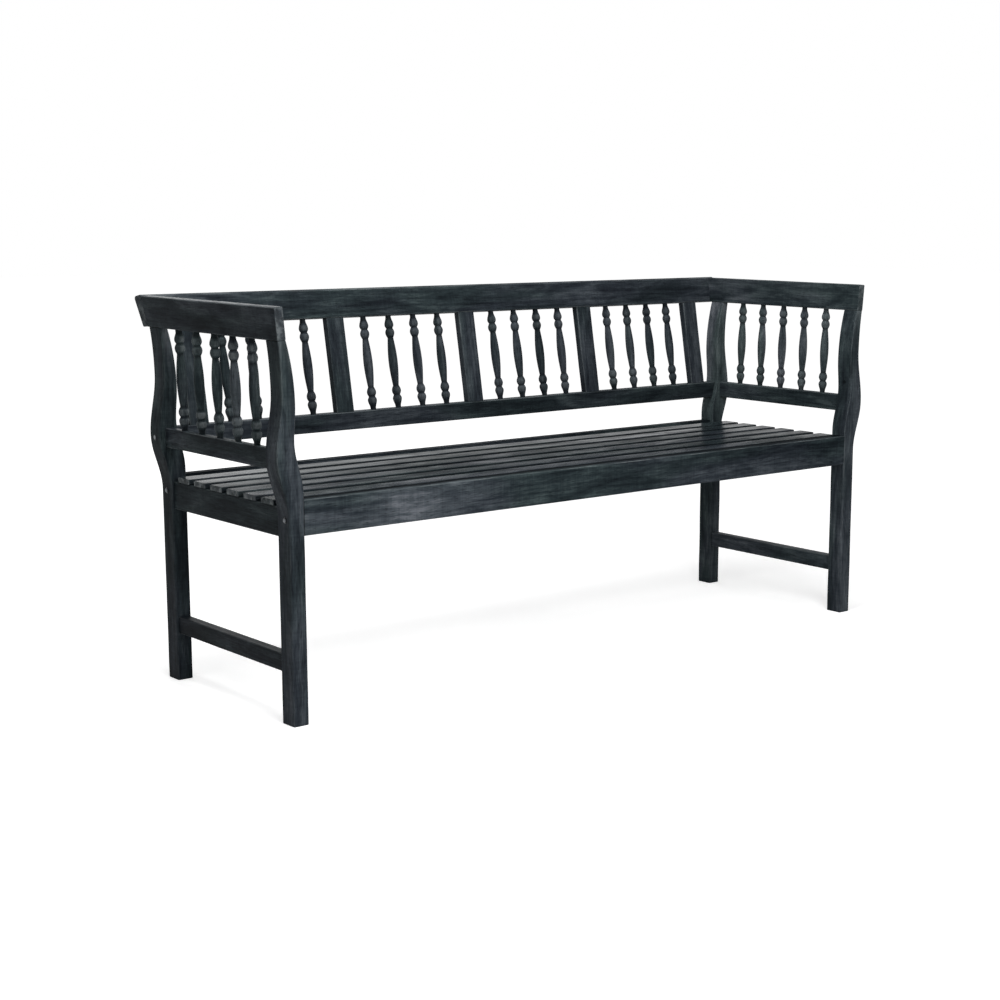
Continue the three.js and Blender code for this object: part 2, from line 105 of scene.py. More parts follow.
def make_camera():
    """The lens is the sensor's width times the focal length over the picture's width, both in pixels."""
    data = bpy.data.cameras.new("camera")
    data.sensor_fit = "HORIZONTAL"
    data.lens = data.sensor_width * focal_pixels / image_pixels
    data.shift_x = (image_pixels / 2 - principal_pixel[0]) / image_pixels
    data.shift_y = (principal_pixel[1] - image_pixels / 2) / image_pixels
    camera = bpy.data.objects.new("camera", data)
    camera.matrix_world = facing(*camera_axes(camera_yaw, camera_pitch, camera_roll), camera_place)
    scene.collection.objects.link(camera)
    scene.camera = camera
    return camera


camera = make_camera()
print("lens, millimetres:", round(camera.data.lens, 1))

# %% [markdown]
# ## Writing shader maths as expressions
#
# A material is a tree of nodes. Wiring each Math node by hand hides the formula, so one small class wraps an
# output socket: adding, subtracting or multiplying two of them makes the Math node and returns its output.
# Any other node comes from one method, which takes the node's type, its settings and the values of its
# sockets.


# %% The wire class
class Wire:
    """An output socket of a material's tree, or the bare tree where socket is None."""

    def __init__(self, tree, socket=None):
        self.tree = tree
        self.socket = socket

    def node(self, kind, settings=None, inputs=None, output=0):
        """Adds a node: first its settings, a ramp's stops among them, then its sockets' values or links."""
        made = self.tree.nodes.new(kind)
        for name, value in (settings or {}).items():
            if name == "stops":
                self.set_stops(made.color_ramp.elements, value)
            else:
                setattr(made, name, value)
        for name, value in (inputs or {}).items():
            if isinstance(value, Wire):
                self.tree.links.new(value.socket, made.inputs[name])
            else:
                made.inputs[name].default_value = value
        return Wire(self.tree, made.outputs[output] if made.outputs else None)

    @staticmethod
    def set_stops(elements, stops):
        while len(elements) < len(stops):
            elements.new(1)
        for element, (position, colour) in zip(elements, stops):
            element.position = position
            element.color = colour

    def math(self, operation, first, second=0.0):
        return self.node("ShaderNodeMath", {"operation": operation}, {0: first, 1: second})

    def __add__(self, other):
        return self.math("ADD", self, other)

    __radd__ = __add__

    def __sub__(self, other):
        return self.math("SUBTRACT", self, other)

    def __rsub__(self, other):
        return self.math("SUBTRACT", other, self)

    def __mul__(self, other):
        return self.math("MULTIPLY", self, other)

    __rmul__ = __mul__

    def __pow__(self, other):
        return self.math("POWER", self, other)

    def clamped(self):
        return self.math("MAXIMUM", self.math("MINIMUM", self, 1.0), 0.0)

    def step(self, low, high):
        """0 below low, 1 above high and a smooth rise between."""
        inputs = {"Value": self, "From Min": low, "From Max": high}
        return self.node("ShaderNodeMapRange", {"interpolation_type": "SMOOTHSTEP"}, inputs)

    def coordinate(self, axis):
        """One number of this vector: 0 for x, 1 for y, 2 for z."""
        return self.node("ShaderNodeSeparateXYZ", {}, {0: self}, axis)

    def vector(self, operation, other=(0, 0, 0), output=0):
        """Vector Math. Its result is a vector at output 0, or a number at output 1."""
        return self.node("ShaderNodeVectorMath", {"operation": operation}, {0: self, 1: other}, output)

    def scaled(self, factors, shift=(0, 0, 0)):
        """This vector, times three factors, moved by shift."""
        return self.vector("MULTIPLY", factors).vector("ADD", shift)

    def noise(self, factors, detail=2.0, roughness=0.5, distortion=0.0, shift=(0, 0, 0)):
        """Noise of this vector, with one cell every 1 / factor metres."""
        inputs = {"Vector": self.scaled(factors, shift), "Scale": 1.0, "Detail": detail}
        inputs.update({"Roughness": roughness, "Distortion": distortion})
        return self.node("ShaderNodeTexNoise", {}, inputs)

    def mixed(self, first, second):
        """The colour first where this value is 0, and second where it is 1."""
        return self.node("ShaderNodeMix", {"data_type": "RGBA"}, {0: self, 6: first, 7: second}, 2)


def new_material(name):
    """An empty node material and a wire on its tree."""
    material = bpy.data.materials.new(name)
    material.use_nodes = True
    material.node_tree.nodes.clear()
    return material, Wire(material.node_tree)


# %% [markdown]
# ## The stained wood
#
# The wood is stained nearly black and then rubbed, so it isn't one colour. Fine fibres and wider streaks run
# along each board, clouds of green and purple grey lie under them, open pores stay black, and the edges are
# rubbed paler. The pattern has to follow each board, so it reads an attribute of the mesh, called grain: the
# place in the board's own wood, in metres, with the first number along the board. A second attribute, wear,
# rises above 0 where the stain is rubbed off, and on the left arm's beads and the bolts' crowns also where a
# highlight is painted. It falls below 0 where stain has gathered in the spindles' necks, and where painted
# shade lies on the rails' hidden edges and the slats' sides.

# %% Patterns and colours
# Each noise: cells per metre along the board and across it, detail, roughness, distortion and a shift.
wood_noises = {
    "warp": ((1.5, 8, 8), 2.0, 0.5),
    "fibre": ((34, 560, 560), 2.0, 0.6),
    "streak": ((5, 170, 170), 3.0, 0.6, 0.3, (3, 1, 4)),
    "patch": ((8, 30, 30), 3.0, 0.55, 0.7, (7, 2, 5)),
    "cloud": ((2.6, 11, 11), 2.0, 0.5, 0.3, (1, 8, 2)),
    "brush": ((240, 20, 20), 1.0, 0.5, 0.0, (4, 4, 9)),
    "pore": ((60, 800, 800), 1.0, 0.5, 0.0, (2, 7, 1)),
    "scuff": ((9, 60, 60), 3.0, 0.6, 0.0, (5, 5, 5)),
}
pore_zone = (0.32, 0.40)  # of its noise, from an open pore to whole wood
scuff_zone = (0.42, 0.66)  # of its noise, from whole stain to a scuff
tint_zone = (0.40, 0.62)  # of the cloud, from green grey to purple grey
ring_pitch = 15 * mm  # between two growth rings
ring_bend = 9 * ring_pitch
ring_sharpness = 2.2
pith_offset = (0, 65 * mm, 48 * mm)  # from the board's middle to the tree's
stain_stops = [
    (0.00, (0.0026, 0.0034, 0.0044, 1)),
    (0.30, (0.0082, 0.0108, 0.0136, 1)),
    (0.52, (0.0190, 0.0250, 0.0292, 1)),
    (0.76, (0.0450, 0.0560, 0.0610, 1)),
    (1.00, (0.1000, 0.1150, 0.1220, 1)),
]
middle_tone = 0.42  # on this ramp, for a wood neither paler nor darker
green_grey = (0.96, 1.03, 0.98, 1)
purple_grey = (1.03, 0.97, 1.03, 1)
black_stain_and_shade = (0.0030, 0.0040, 0.0050, 1)
# Also the colour of the painted highlight on the left arm's beads.
rubbed_wood_and_highlight = (0.150, 0.166, 0.172, 1)


def growth_rings(grain, warp):
    """Thin dark bands around the tree's middle: a sharpened wave of the distance from the pith, which a slow
    noise bends, so that the bands close into arches on a flat-sawn board."""
    across = grain.scaled((0, 1, 1), pith_offset)
    turns = (across.vector("LENGTH", output=1) + warp * ring_bend) * (2 * math.pi / ring_pitch)
    return (turns.math("SINE", turns) * 0.5 + 0.5) ** ring_sharpness


# %% [markdown]
# ## From the patterns to a material
#
# The patterns add up to one tone, which picks its colour from the stain's ramp. Rubbed places, gathered
# stain, painted shade, a painted highlight on some beads, pores and knots are laid over it, and a bump lets the
# light catch on fibres and pores.
#
# The stain is dull, so the index of refraction is far lower than a varnish would have: a higher one would
# turn every face that is seen at a low angle grey. Only the slats are polished, by the people who sit on
# them. They carry a coat whose weight grows towards the back and the ends, and it mirrors the bright room at
# a low angle. That is why the seat looks so much paler than the rails.

# %% Stained wood
# The right half's tone and the tone above the seat are partly painted light.
right_tone_and_light_zone = (-150 * mm, 100 * mm)  # along the bench, where its right half's tone sets in
upper_light_zone = (400 * mm, 560 * mm)  # of the height, where the tone above the seat sets in
left_zone = (-550 * mm, 100 * mm)  # along the bench, where the left part's polish ends
end_zone = (550 * mm, 800 * mm)  # from the bench's middle, where the polish of the slats' ends sets in
polish_start = -190 * mm  # of the depth, from where the polish grows to the back
bump_height = 0.5 * mm
relief, polished_relief = 0.4, 0.06
dullness, polished_dullness = 0.58, 0.40


def stained_wood(name, paler=0.0, fade=0.0, right=0.0, upper=0.0, index=1.08, seat=False, knots=()):
    """The dark wood. paler lifts the whole tone, fade is its change for each metre along the bench, right is
    its change in the bench's right half alone, on the apron partly the lack of the painted highlight at its
    left, upper the same above the seat, which is painted light, index is how strongly the surface mirrors, seat
    is the polish of the slats, and each knot is a place on the piece and a radius, in metres."""
    material, tree = new_material(name)
    grain = tree.node("ShaderNodeAttribute", {"attribute_name": "grain"}, {}, 1)
    wear = tree.node("ShaderNodeAttribute", {"attribute_name": "wear"}, {}, 2)
    place = tree.node("ShaderNodeTexCoord", {}, {}, 3)
    along_bench = place.coordinate(0)
    ends = along_bench.math("ABSOLUTE", along_bench).step(*end_zone) if seat else 0
    noises = (grain.noise(*settings) for settings in wood_noises.values())
    warp, fibre, streak, patch, cloud, brush, pore, scuff = noises
    pores = 1 - pore.step(*pore_zone)

    # The tone: every pattern times its share, less what they come to on average.
    broad = streak * 0.38 + patch * 0.90 + cloud * 0.50 - 0.89
    figure = broad + fibre * 0.45 + brush * 0.14 - growth_rings(grain, warp) * 0.09 - 0.23
    # right and upper partly paint light: the apron's highlight at its left, the light on the rear posts above
    # the seat.
    tone = figure + along_bench * fade + along_bench.step(*right_tone_and_light_zone) * right + (middle_tone + paler)
    tone = tone + place.coordinate(2).step(*upper_light_zone) * upper
    stain = tone.node("ShaderNodeValToRGB", {"stops": stain_stops}, {0: tone})
    tint = cloud.step(*tint_zone).mixed(green_grey, purple_grey)
    colour = stain.vector("MULTIPLY", tint)

    # What lies over it: rubbed places, which on the left arm's beads are also a painted highlight; where the
    # wear is below 0, gathered stain and painted shade, thinner at the slats' ends; and pores.
    colour = (wear * (scuff.step(*scuff_zone) * 0.45 + 0.10)).clamped().mixed(colour, rubbed_wood_and_highlight)
    colour = (wear * (ends * 0.60 - 0.85)).clamped().mixed(colour, black_stain_and_shade)
    colour = (pores * 0.5).mixed(colour, black_stain_and_shade)
    height = fibre * 0.6 + streak * 0.5 - pores * 0.5
    for middle, radius in knots:
        away = place.vector("DISTANCE", middle, 1) + (fibre - 0.5) * (0.5 * radius)
        knot = 1 - away.step(0.35 * radius, radius)
        colour = (knot * 0.85).mixed(colour, black_stain_and_shade)
        height = height - knot * 0.6

    strength = polished_relief if seat else relief
    bump = tree.node("ShaderNodeBump", {}, {"Height": height, "Strength": strength, "Distance": bump_height})
    roughness = (polished_dullness if seat else dullness) - patch * 0.22 - streak * 0.08 + pores * 0.1
    inputs = {"Base Color": colour, "Roughness": roughness.clamped(), "Normal": bump, "IOR": index}
    if seat:
        left = 1 - along_bench.step(*left_zone)
        polish = (place.coordinate(1) - polish_start) ** 2 * 3.2 + left * 0.12 + ends * 0.30 + broad * 1.1
        inputs.update({"Coat Weight": polish.clamped(), "Coat Roughness": 0.2, "Coat IOR": 1.14})
    surface = tree.node("ShaderNodeBsdfPrincipled", {}, inputs)
    tree.node("ShaderNodeOutputMaterial", {}, {"Surface": surface})
    return material


# %% [markdown]
# ## One stain, many tones
#
# No two pieces took the stain alike: the left stretcher is nearly black and the arms' spindles are paler. Some
# tones are also painted light: the right end's boards are paler, partly for the light on their inner faces, the
# apron is paler at its left, partly a painted highlight, and the rear posts' paler tops above the seat are
# painted light.

# %% Woods of the bench
post_knot = ((782.7 * mm, -254 * mm, 569 * mm), 6.5 * mm)  # place and radius
wood = stained_wood("stained_wood", paler=0.02)
pale_wood = stained_wood("pale_wood", paler=0.05)
knotty_wood = stained_wood("knotty_wood", paler=0.10, knots=[post_knot])
grey_wood = stained_wood("grey_wood", paler=0.13)
dark_wood = stained_wood("dark_wood", paler=-0.15)
# upper paints the light on the rear posts above the seat.
dark_post_wood = stained_wood("dark_post_wood", paler=-0.08, upper=0.21)
grey_post_wood = stained_wood("grey_post_wood", paler=0.14, upper=0.28)
dull_wood = stained_wood("dull_wood", paler=-0.02, fade=0.12, index=1.03)
# right darkens the apron's right half: partly its wood, partly a painted highlight kept to its left.
apron_wood = stained_wood("apron_wood", paler=0.20, right=-0.17, index=1.02)
crest_wood = stained_wood("crest_wood", paler=0.05, fade=-0.05)
seat_wood = stained_wood("seat_wood", paler=0.06, fade=-0.05, index=1.03, seat=True)
turned_wood = stained_wood("turned_wood", paler=0.06)
arm_turned_wood = stained_wood("arm_turned_wood", paler=0.23, fade=0.05)
print("woods:", len([material for material in bpy.data.materials if material.name.endswith("_wood")]))

# %% [markdown]
# ## From rings of points to a closed piece
#
# Every piece here is a row of rings: the outline of its section, set again and again along its length. With
# the points in one array, the faces between two rings are worked out at once from their numbers, and the two
# ends are closed by one flat face each. The normals are averaged by area, so that the broad flats stay flat
# and only the rounded edges shade round.

# %% Skin over rings
seeds = np.random.default_rng(20)
grain_reach = 4.0  # metres of wood that the boards are cut from, so that no two show the same grain


def ring_faces(rings, points):
    """Four corners for each face between two neighbouring rings, as point numbers."""
    ring, point = np.meshgrid(np.arange(rings - 1), np.arange(points), indexing="ij")
    here = ring * points + point
    beside = ring * points + (point + 1) % points
    return np.stack([here, beside, beside + points, here + points], axis=-1).reshape(-1, 4)


def area_normals(place, faces, first, last):
    """For each point, the sum of its faces' normals, each as long as its face's area, made a unit vector."""
    corners = place[faces]
    face_normals = np.cross(corners[:, 2] - corners[:, 0], corners[:, 3] - corners[:, 1])
    normals = np.zeros_like(place)
    for corner in range(4):
        np.add.at(normals, faces[:, corner], face_normals)
    for loop in (first, last):
        outline = place[loop]
        cap = np.cross(outline - outline.mean(0), np.roll(outline, -1, axis=0) - outline.mean(0)).sum(0)
        normals[loop] += cap
    return normals / np.linalg.norm(normals, axis=1, keepdims=True)


def enclosed_volume(place, faces, first, last):
    """The sum of the pyramids between each face and the origin, negative where the faces point inwards."""
    a, b, c, d = (place[faces[:, corner]] for corner in range(4))
    volume = (np.cross(a, b) * c).sum() + (np.cross(a, c) * d).sum()
    for loop in (first, last):
        outline = place[loop]
        volume += (np.cross(outline[1:-1], outline[2:]) * outline[0]).sum()
    return volume / 6


def skin(name, rings, grain, wear, material, node):
    """A closed piece from an array of rings, with its grain and wear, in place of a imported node."""
    count, points = rings.shape[:2]
    place = rings.reshape(-1, 3)
    faces = ring_faces(count, points)
    first = np.arange(points)[::-1]
    last = np.arange(points) + (count - 1) * points
    if enclosed_volume(place, faces, first, last) < 0:
        faces = faces[:, ::-1]
        first = first[::-1]
        last = last[::-1]
    mesh = bpy.data.meshes.new(name)
    mesh.from_pydata(place.tolist(), [], faces.tolist() + [first.tolist(), last.tolist()])
    offset = seeds.uniform(-grain_reach, grain_reach, 3)
    stored = mesh.attributes.new("grain", "FLOAT_VECTOR", "POINT")
    stored.data.foreach_set("vector", (grain.reshape(-1, 3) + offset).ravel())
    stored = mesh.attributes.new("wear", "FLOAT", "POINT")
    stored.data.foreach_set("value", np.broadcast_to(wear, (count, points)).ravel())
    mesh.shade_smooth()
    mesh.normals_split_custom_set_from_vertices(area_normals(place, faces, first, last).tolist())
    mesh.materials.append(material)
    piece = bpy.data.objects.new(name, mesh)
    scene.collection.objects.link(piece)
    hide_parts(node)
    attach(piece, "root")
    return piece


# %% [markdown]
# ## A board with rounded edges
#
# A real board has no sharp edge: each one is eased by sandpaper, and that small round catches the light and
# loses its stain first. The section is an outline whose corners are replaced by arcs. Each point also knows
# its outward direction, so that the outline can be drawn in at the board's ends to round those edges too, and
# its wear, which is highest in the middle of an arc.

# %% Sections
arc_steps = 6


def rounded_outline(corners, radii):
    """Each corner replaced by an arc that touches both its sides: points, outward directions and wear.

    The arc's middle lies on the corner's bisector, at the radius over the sine of half the corner's angle.
    """
    corners = np.asarray(corners, float)
    radii = np.broadcast_to(np.asarray(radii, float), len(corners))[:, None]
    back = np.roll(corners, 1, axis=0) - corners
    back /= np.linalg.norm(back, axis=1, keepdims=True)
    on = np.roll(corners, -1, axis=0) - corners
    on /= np.linalg.norm(on, axis=1, keepdims=True)
    half_angle = np.arccos(np.clip((back * on).sum(1), -1, 1))[:, None] / 2
    bisector = (back + on) / np.linalg.norm(back + on, axis=1, keepdims=True)
    middle = corners + bisector * radii / np.sin(half_angle)
    start = (corners + back * radii / np.tan(half_angle) - middle) / radii
    end = (corners + on * radii / np.tan(half_angle) - middle) / radii
    turn = np.arccos(np.clip((start * end).sum(1), -1, 1))[:, None]
    share = np.linspace(0, 1, arc_steps + 1)[None, :]
    weights = np.stack([np.sin((1 - share) * turn), np.sin(share * turn)], axis=-1) / np.sin(turn)[..., None]
    outward = weights[..., :1] * start[:, None] + weights[..., 1:] * end[:, None]
    points = middle[:, None] + outward * radii[..., None]
    wear = np.broadcast_to(np.sin(np.pi * share), outward.shape[:2])
    return points.reshape(-1, 2), outward.reshape(-1, 2), wear.ravel()


def rectangle(width, height):
    """The four corners of an upright rectangle around zero."""
    return np.array([[-1, -1], [1, -1], [1, 1], [-1, 1]]) * [width / 2, height / 2]


# %% [markdown]
# ## Boards along a straight line
#
# A straight board is its section carried along an axis. Its two ends needn't be square: the rails meet curved
# posts and a leaning crest, so each end is a function that tells, for a place in the section, how far along
# the axis the wood ends there. A slow random wave moves the rounded edges in and out by a few tenths of a
# millimetre, as hand sanding does.

# %% Straight boards
free_round = 1.4 * mm  # of an end that stands free
tight_round = 0.25 * mm  # of an end that is glued against another piece
free_rounds, tight_rounds = (free_round, free_round), (tight_round, tight_round)
edge_wander = 0.35 * mm
ring_spacing = 28 * mm
end_steps = 4


def slow_wave(along, count):
    """For each of count lines, a sum of three sines along the board, between about -1 and 1."""
    lengths = seeds.uniform(70 * mm, 300 * mm, (3, 1, count))
    phases = seeds.uniform(0, 2 * np.pi, (3, 1, count))
    return np.sin(2 * np.pi * along[None, :, None] / lengths + phases).mean(0)


def quarter_round(radius):
    """A quarter of a circle from an end's face to its side: offsets from the end, and how far drawn in."""
    turn = np.linspace(0, np.pi / 2, end_steps)
    return radius * (1 - np.cos(turn)), radius * (1 - np.sin(turn))


def board_stations(length, rounds):
    """Where the rings lie: a share of the length, an offset in metres from that end, how far drawn in, and
    the wear of the ring, which is 1 on the face of a free end."""
    (first_offset, first_inset), (last_offset, last_inset) = (quarter_round(radius) for radius in rounds)
    inner = np.linspace(0, 1, max(3, int(length / ring_spacing)) + 1)[1:-1]
    still = np.zeros(len(inner))
    share = np.concatenate([np.zeros(end_steps), inner, np.ones(end_steps)])
    offset = np.concatenate([first_offset, still, -last_offset[::-1]])
    inset = np.concatenate([first_inset, still, last_inset[::-1]])
    round_wear = np.linspace(1, 0, end_steps)
    first_wear, last_wear = (round_wear * (radius == free_round) for radius in rounds)
    return share, offset, inset, np.concatenate([first_wear, still, last_wear[::-1]])


def corner_numbers(points):
    """Which of a section's four corners each point of its outline belongs to."""
    return np.repeat(np.arange(4), len(points) // 4)


def drawn_in(along, inset, points, wear):
    """How far each point of each ring lies inside the outline: the end's round and the edges' slow wave."""
    wander = slow_wave(along, 4)[:, corner_numbers(points)] * edge_wander * wear
    return inset[:, None] + wander + edge_wander * wear


def board(name, section, origin, axes, ends, material, rounds=tight_rounds, rub=1.0):
    """A board named after its node: each ring is the section, drawn in, at its place between the two ends.
    axes are the directions along it and of the section's two coordinates, and rub is how far its free ends
    are rubbed."""
    points, outward, wear = section
    start_at, end_at = (end(points) for end in ends)
    share, offset, inset, end_wear = board_stations(float((end_at - start_at).mean()), rounds)
    along = start_at + (end_at - start_at) * share[:, None] + offset[:, None]
    drawn = points - outward * drawn_in(along.mean(1), inset, points, wear)[..., None]
    local = np.concatenate([along[..., None], drawn], axis=-1)
    rings = np.asarray(origin) + local @ np.asarray(axes, float)
    worn = np.where(end_wear[:, None] > 0, end_wear[:, None] * rub, wear)
    return skin(name, rings, local, worn, material, name)


def flat_end(at):
    """An end that is cut square to the board."""
    return lambda points: np.full(len(points), at)


def mirrored_ends(reach):
    """Both ends of a board that reaches as far to the left as to the right."""
    return lambda points: -reach(points), reach


def node_span(name):
    """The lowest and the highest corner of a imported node."""
    low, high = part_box(name)
    return np.array(low), np.array(high)


def node_size(name):
    """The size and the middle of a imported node's box."""
    low, high = node_span(name)
    return high - low, (low + high) / 2


x_axis, y_axis, z_axis = np.eye(3)
bench_axes = [x_axis, y_axis, z_axis]  # of a board along the bench
hands = ((-1, "left"), (1, "right"))  # each end's sign along X, and its word in the names

# %% [markdown]
# ## The posts
#
# A post is cut from a plank: seen from the front its two long edges are straight up to the seat, then swing
# outwards to the arm's lower rail, draw in to a neck and flare again under the arm's top rail. Each stretch
# of an edge but the last is half a cosine wave, which starts and ends upright, so that they join without a
# kink. A list of points would do too, but the formula can be evaluated as finely as the render needs.

# %% Post curves
joint_gap = 0.3 * mm
leg_half_span = 800 * mm
leg_width = 34 * mm
slat_top = node_span("seat_slat_1")[1][2]
rail_top = node_span("back_lower_rail")[1][2]
post_height = node_span("arm_top_rail_left")[0][2]
arm_lean = math.radians(5.2)
outer_flare = 16.5 * mm
arm_foot = leg_half_span + outer_flare
arm_thickness = 19 * mm
arm_height = 63 * mm
# Drops and rises are from the slats' tops, the back rail's top and the post's own top, in this order.
outer_curve_drop = 31 * mm
outer_bulge, outer_bulge_drop = 23.2 * mm, 14 * mm
outer_neck, outer_neck_drop = 9.1 * mm, 98 * mm
outer_stations = [
    (slat_top - outer_curve_drop, leg_half_span),
    (rail_top - outer_bulge_drop, leg_half_span + outer_bulge),
    (post_height - outer_neck_drop, leg_half_span + outer_neck),
    (post_height, arm_foot),
]
inner_curve_rise = 14 * mm
inner_bulge, inner_bulge_rise = 17.5 * mm, 16 * mm
inner_neck, inner_neck_drop = 13.8 * mm, 121 * mm
inner_face = leg_half_span - leg_width
inner_stations = [
    (slat_top + inner_curve_rise, inner_face),
    (rail_top + inner_bulge_rise, inner_face + inner_bulge),
    (post_height - inner_neck_drop, inner_face + inner_neck),
    (post_height, arm_foot - arm_thickness * math.cos(arm_lean)),
]


def edge_at(stations, height):
    """The distance of a post's edge from the bench's middle: upright below the first station, half a cosine
    wave between the next ones, and at the top a flare that grows with the square of the height."""
    (foot, x0), (bulge, x1), (neck, x2), (top, x3) = stations
    first = np.clip((height - foot) / (bulge - foot), 0, 1)
    second = np.clip((height - bulge) / (neck - bulge), 0, 1)
    third = np.clip((height - neck) / (top - neck), 0, 1)
    swing = (x1 - x0) * (1 - np.cos(np.pi * first)) / 2 + (x2 - x1) * (1 - np.cos(np.pi * second)) / 2
    return x0 + swing + (x3 - x2) * third**2


print("posts' inner edge at the back's rail, metres:", round(float(edge_at(inner_stations, rail_top)), 4))

# %% [markdown]
# The post's section is the same rounded rectangle all the way up, only as wide as the two edges are apart at
# that height, and moved with them. Its top is cut along the leaning underside of the arm's rail, so the last
# rings tilt bit by bit until the top one lies in that plane.

# %% Posts
post_edge_round = 2.6 * mm
curve_ring_spacing = 7 * mm
post_edge_rub = 0.45
rubbed_depth = 90 * mm  # of the front's rubbed place under the arm's rail
facing_front = -0.9  # of the outward direction along Y, at most


def post_heights():
    """The heights of the rings, close together at the two rounded ends, and how far each is drawn in."""
    foot, foot_inset = quarter_round(free_round)
    head, head_inset = quarter_round(tight_round)
    count = int(post_height / curve_ring_spacing)
    inner = np.linspace(0, post_height, count)[1:-1]
    heights = np.concatenate([foot, inner, post_height - head[::-1]])
    return heights, np.concatenate([foot_inset, np.zeros(len(inner)), head_inset[::-1]])


def rise_to_top(heights, depth):
    """0 up to a depth under the post's top, then growing with the square of the height to 1 at the top."""
    return np.clip((heights - (post_height - depth)) / depth, 0, 1)[:, None] ** 2


def make_post(name, side, material):
    """At each height the leg's section, widened and moved with the two edges, and tilted near the top."""
    size, middle = node_size(name)
    heights, inset = post_heights()
    outer = edge_at(outer_stations, heights)
    inner = edge_at(inner_stations, heights)
    points, outward, wear = rounded_outline(rectangle(leg_width, size[1]), post_edge_round)
    grow = (outer - inner - leg_width)[:, None] / 2
    shrink = drawn_in(heights, inset, points, wear)
    across = points[:, 0] + np.sign(points[:, 0]) * grow - outward[:, 0] * shrink
    back = points[:, 1] - outward[:, 1] * shrink + middle[1]
    x = (outer + inner)[:, None] / 2 + across
    tilt = rise_to_top(heights, outer_neck_drop)
    z = heights[:, None] + tilt * (arm_foot - x) * math.tan(arm_lean)
    rings = np.stack([side * x, back, z], axis=-1)
    grain = np.stack([z, x, back], axis=-1)
    rubbed_front = rise_to_top(heights, rubbed_depth) * (outward[:, 1] < facing_front)
    worn = np.maximum(wear * post_edge_rub, rubbed_front)
    return skin(name, rings, grain, worn, material, name)


post_woods = {
    ("rear", "left"): dark_post_wood,
    ("rear", "right"): grey_post_wood,
    ("front", "right"): knotty_wood,
}
for side, hand in hands:
    for row in ("front", "rear"):
        make_post(f"{row}_post_{hand}", side, post_woods.get((row, hand), pale_wood))
print("posts: 4, each with", len(post_heights()[0]), "rings")

# %% [markdown]
# ## The rails between the posts
#
# Three rails run the whole length between the posts, and three boards run from front to back at each end,
# with one more under the slats' middle. The long rails end on the posts' inner edges, which are curved at the
# height of the back's rail, so their ends are cut to that curve. The short ones meet flat faces.
#
# Edges that hands and legs reach are rubbed pale. The others lie hidden, and painted shade darkens them, most
# of all on the back of the front rail's top, close under the slats.

# %% Rails
rail_edge_round = 2.4 * mm
upper_rear_corner = 2  # in the order of rectangle()


def make_long_rail(name, material, rub=1.0, behind=-1.0, top=0.0):
    """A rail out to the posts' inner edges. rub is how far its edges are worn, behind the same of its upper
    edge at the back, and top the same of the top next to that edge. Below 0 they are darkened as painted shade."""
    size, middle = node_size(name)
    points, outward, wear = rounded_outline(rectangle(size[1], size[2]), rail_edge_round)
    upper_rear = corner_numbers(points) == upper_rear_corner
    section = points, outward, np.where(upper_rear, wear * behind + top * outward[:, 1], wear * rub)

    def reach(points):
        return edge_at(inner_stations, middle[2] + points[:, 1]) - joint_gap

    return board(name, section, [0, *middle[1:]], bench_axes, mirrored_ends(reach), material)


def make_cross_board(name, before, behind, material):
    """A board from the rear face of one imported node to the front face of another."""
    size, middle = node_size(name)
    front = node_span(before)[1][1] + joint_gap
    rear = node_span(behind)[0][1] - joint_gap
    section = rounded_outline(rectangle(size[0], size[2]), rail_edge_round)
    ends = (flat_end(front), flat_end(rear))
    return board(name, section, [middle[0], 0, middle[2]], [y_axis, x_axis, z_axis], ends, material)


# Painted shade on the back of its top makes the dark line under the slats.
make_long_rail("front_seat_rail", apron_wood, top=-2.0)
# Painted shade darkens its edges under the slats; only its upper rear edge is rubbed.
make_long_rail("rear_seat_rail", dull_wood, rub=-1.0, behind=0.8)
make_long_rail("back_lower_rail", wood)
left_woods = {"side_stretcher": dark_wood}
for side, hand in hands:
    for name in ("side_seat_rail", "side_stretcher", "arm_lower_rail"):
        # The right end's boards are paler, partly as painted light on their inner faces.
        material = left_woods.get(name, wood) if side < 0 else grey_wood
        make_cross_board(f"{name}_{hand}", f"front_post_{hand}", f"rear_post_{hand}", material)
make_cross_board("centre_seat_bearer", "front_seat_rail", "rear_seat_rail", wood)
print("rails and boards: 10")

# %% [markdown]
# ## The seat's slats
#
# Six thin slats lie on the side rails with gaps between them. Their edges get a larger round than the rails',
# and their sides are painted dark for the shade in the gaps, so that a dark line parts each slat from the next.
# The ends are rubbed pale.

# %% Slats
slat_edge_round = 2.5 * mm
slat_edge_rub = 0.3
slat_side_shade = 3.2  # how fast the painted shade darkens as the edge turns down
slat_end_rub = 1.9
slat_count = 6


def make_slat(name):
    """A thin board, whose wear falls as the outward direction turns away from straight up: painted shade on its
    sides.
    """
    size, middle = node_size(name)
    points, outward, wear = rounded_outline(rectangle(size[1], size[2]), slat_edge_round)
    # Painted shade: the slat's sides go dark like the shaded gaps between the slats.
    stained = np.clip(slat_side_shade * (1 - outward[:, 1]), 0, 1)
    section = points, outward, wear * slat_edge_rub - stained
    origin = [0, *middle[1:]]
    ends = mirrored_ends(flat_end(size[0] / 2))
    return board(name, section, origin, bench_axes, ends, seat_wood, free_rounds, slat_end_rub)


for number in range(1, slat_count + 1):
    make_slat(f"seat_slat_{number}")
print("slats:", slat_count)

# %% [markdown]
# ## The crest rail
#
# The crest leans back with the spindles and is thicker at its top than at its foot, so its section is a
# four-cornered outline in depth and height, with its two top edges well rounded. Its ends are flush with the
# arms, which lean outwards, so the wood there ends further out the higher it is.

